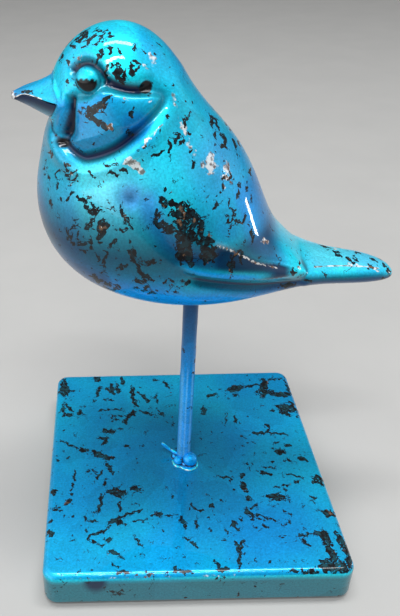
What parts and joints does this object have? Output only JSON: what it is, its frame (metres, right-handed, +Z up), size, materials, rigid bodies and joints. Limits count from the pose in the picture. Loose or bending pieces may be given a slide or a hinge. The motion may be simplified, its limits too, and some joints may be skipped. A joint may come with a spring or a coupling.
{
  "type": "bird ornament",
  "caption": "Plump metal bird on a thin upright rod over a square pan base, finished in torn blue foil under clear lacquer; a shelf ornament.",
  "frame": {"origin": "centre of the underside that rests on the table, below the rod's axis", "axes": "+Z up along the rod, the bird faces -X, its left side faces -Y"},
  "size_m": [0.1159, 0.1, 0.1727],
  "materials": {
    "base_pan": "torn blue foil over black, clear gloss lacquer",
    "base_felt": "black felt",
    "stem": "blue foil, clear gloss lacquer",
    "foot_weld": "blue foil, clear gloss lacquer",
    "under_weld": "raw steel weld, heat tinted",
    "left_shell": "torn blue foil over black, clear gloss lacquer",
    "right_shell": "torn blue foil over black, clear gloss lacquer",
    "beak": "blue foil, clear gloss lacquer, worn mouth line",
    "belly_weld": "blue foil, clear gloss lacquer"
  },
  "bodies": {
    "root": {"base_pan": "base_pan", "base_felt": "base_felt", "stem": "stem", "foot_weld": "foot_weld", "under_weld": "under_weld", "left_shell": "left_shell", "right_shell": "right_shell", "beak": "beak", "belly_weld": "belly_weld"}
  },
  "joints": []
}
